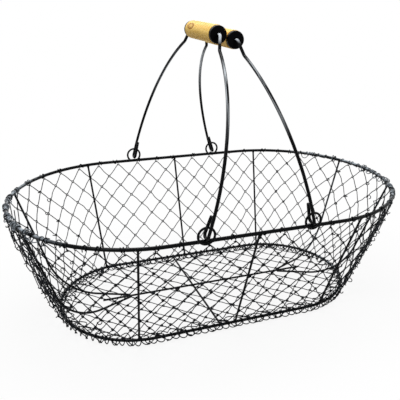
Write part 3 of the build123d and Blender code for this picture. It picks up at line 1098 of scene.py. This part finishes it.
class BASKET_OT_grips(bpy.types.Operator):
    """Turn the wooden grips and finish their end caps"""

    bl_idname = "basket.grips"
    bl_label = "Grips"

    def execute(self, context):
        cap_finish = finish_named("black_moulded_plastic", moulded_cap)
        # Each grip has its knot near the back, at its own turn round the wood
        for side, knot_turn in (("left", 150), ("right", -35)):
            low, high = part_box(side + "_grip")
            middle = (low + high) / 2
            radius = (high.z - low.z) / 2
            turn = math.radians(knot_turn)
            knot = Vector((
                middle.x + radius * math.cos(turn), high.y - 13 * MM,
                middle.z + radius * math.sin(turn))) / MM
            dress_node(side + "_grip", turned_wood(side + "_turned_pale_wood", knot))
            for end in ("front", "back"):
                dress_node(side + "_cap_" + end, cap_finish)
        return {"FINISHED"}


class BASKET_OT_stage(bpy.types.Operator):
    """Set up the floor, light and camera"""

    bl_idname = "basket.stage"
    bl_label = "Stage"

    def execute(self, context):
        self.floor(context)
        self.light(context)
        self.camera(context)
        context.scene.view_settings.view_transform = "Standard"
        return {"FINISHED"}

    def floor(self, context):
        """A pale floor that shows a faint shadow near the basket and plain white further off."""
        stage = context.scene.basket_stage
        half = 6.0
        corners = [(-half, -half, 0), (half, -half, 0), (half, half, 0), (-half, half, 0)]
        mesh = bpy.data.meshes.new("floor")
        mesh.from_pydata(corners, [], [(0, 1, 2, 3)])
        floor = new_object("floor", mesh)
        finish, tree, place = new_finish("pale_studio_floor")
        matt = add_node(tree, "ShaderNodeBsdfDiffuse", {"Color": colour(stage.floor)})
        white = add_node(tree, "ShaderNodeEmission", {"Color": WHITE, "Strength": 1.0})
        # The shadow fades out from 80 to 220 mm away from the middle, and later lengthwise
        oval = add_node(
            tree, "ShaderNodeVectorMath", {"operation": "MULTIPLY", 1: (0.6, 1.0, 1.0)}, {0: place})
        away = add_node(tree, "ShaderNodeVectorMath", {"operation": "LENGTH"}, {0: oval})
        fade = add_node(
            tree, "ShaderNodeMapRange",
            {"interpolation_type": "SMOOTHSTEP", "From Min": 80.0, "From Max": 220.0,
             "To Min": 0.9, "To Max": 1.0},
            {"Value": away})
        seen = add_node(
            tree, "ShaderNodeMath", {"operation": "MULTIPLY"}, {0: white_rays(tree), 1: fade})
        mix = add_node(tree, "ShaderNodeMixShader", {}, {0: seen, 1: matt, 2: white})
        add_node(tree, "ShaderNodeOutputMaterial", {}, {"Surface": mix})
        mesh.materials.append(finish)

    def light(self, context):
        """Soft light from all round, white where it is seen, and four lamps."""
        stage = context.scene.basket_stage
        world = bpy.data.worlds.new("studio_world")
        context.scene.world = world
        world.use_nodes = True
        tree = world.node_tree
        tree.nodes.clear()
        soft = add_node(
            tree, "ShaderNodeBackground", {"Color": WHITE, "Strength": stage.soft_light})
        white = add_node(tree, "ShaderNodeBackground", {"Color": WHITE, "Strength": 1.0})
        mix = add_node(tree, "ShaderNodeMixShader", {}, {0: white_rays(tree), 1: soft, 2: white})
        add_node(tree, "ShaderNodeOutputWorld", {}, {"Surface": mix})
        # Name, place, width and power
        lamps = (
            ("key_lamp", (-0.7, -0.6, 1.1), 0.35, 5.5),
            ("fill_lamp", (1.0, -0.4, 0.8), 0.5, 2.0),
            ("top_lamp", (-0.1, 0.2, 1.4), 0.6, 17.0),
            ("back_lamp", (0.25, 1.2, 0.72), 1.2, 9.0),
        )
        lit_middle = Vector((0.0, 0.0, 0.12))
        for name, place, width, power in lamps:
            lamp = bpy.data.lights.new(name, "AREA")
            lamp.shape = "DISK"
            lamp.size = width
            lamp.energy = power
            holder = new_object(name, lamp)
            holder.location = place
            aim = lit_middle - Vector(place)
            holder.rotation_euler = aim.to_track_quat("-Z", "Y").to_euler()

    def camera(self, context):
        """The camera, at its angles and distance from the middle of the basket."""
        stage = context.scene.basket_stage
        around, above, roll = stage.azimuth, stage.elevation, stage.roll
        away = Vector((
            math.sin(around) * math.cos(above), -math.cos(around) * math.cos(above),
            math.sin(above)))
        right = (-away).cross(Vector((0.0, 0.0, 1.0))).normalized()
        up = right.cross(-away)
        right_rolled = math.cos(roll) * right + math.sin(roll) * up
        up_rolled = -math.sin(roll) * right + math.cos(roll) * up
        camera = bpy.data.cameras.new("photo_camera")
        camera.sensor_fit = "HORIZONTAL"
        camera.sensor_width = 36.0
        camera.lens = stage.lens
        camera.shift_x = stage.shift
        camera.clip_start = 0.01
        holder = new_object("photo_camera", camera)
        turn = Matrix((right_rolled, up_rolled, away)).transposed().to_4x4()
        turn.translation = Vector((0.0, 0.0, stage.aim)) + away * stage.distance
        holder.matrix_world = turn
        context.scene.camera = holder


class BASKET_PT_panel(bpy.types.Panel):
    """Lists the basket's operators and settings"""

    bl_idname = "BASKET_PT_panel"
    bl_label = "Harvest Basket"
    bl_space_type = "VIEW_3D"
    bl_region_type = "UI"
    bl_category = "Basket"

    def draw(self, context):
        scene = context.scene
        for operator in OPERATORS:
            self.layout.operator(operator.bl_idname)
        for settings in (scene.basket_net, scene.basket_finish, scene.basket_stage):
            box = self.layout.box()
            for name in settings.__annotations__:
                box.prop(settings, name)


OPERATORS = (
    BASKET_OT_stage, BASKET_OT_frame_wires, BASKET_OT_weld_beads, BASKET_OT_bails,
    BASKET_OT_side_net, BASKET_OT_rim_wraps, BASKET_OT_loose_ends, BASKET_OT_base_lacing,
    BASKET_OT_bottom_net, BASKET_OT_grips,
)
CLASSES = (
    BasketNetSettings, BasketFinishSettings, BasketStageSettings, *OPERATORS, BASKET_PT_panel,
)


def register():
    for cls in CLASSES:
        bpy.utils.register_class(cls)
    bpy.types.Scene.basket_net = bpy.props.PointerProperty(type=BasketNetSettings)
    bpy.types.Scene.basket_finish = bpy.props.PointerProperty(type=BasketFinishSettings)
    bpy.types.Scene.basket_stage = bpy.props.PointerProperty(type=BasketStageSettings)


def unregister():
    del bpy.types.Scene.basket_stage
    del bpy.types.Scene.basket_finish
    del bpy.types.Scene.basket_net
    for cls in reversed(CLASSES):
        bpy.utils.unregister_class(cls)


def main():
    register()
    bpy.ops.basket.stage()
    bpy.ops.basket.frame_wires()
    bpy.ops.basket.weld_beads()
    bpy.ops.basket.bails()
    bpy.ops.basket.side_net()
    bpy.ops.basket.rim_wraps()
    bpy.ops.basket.loose_ends()
    bpy.ops.basket.base_lacing()
    bpy.ops.basket.bottom_net()
    bpy.ops.basket.grips()


if __name__ == "__main__":
    main()
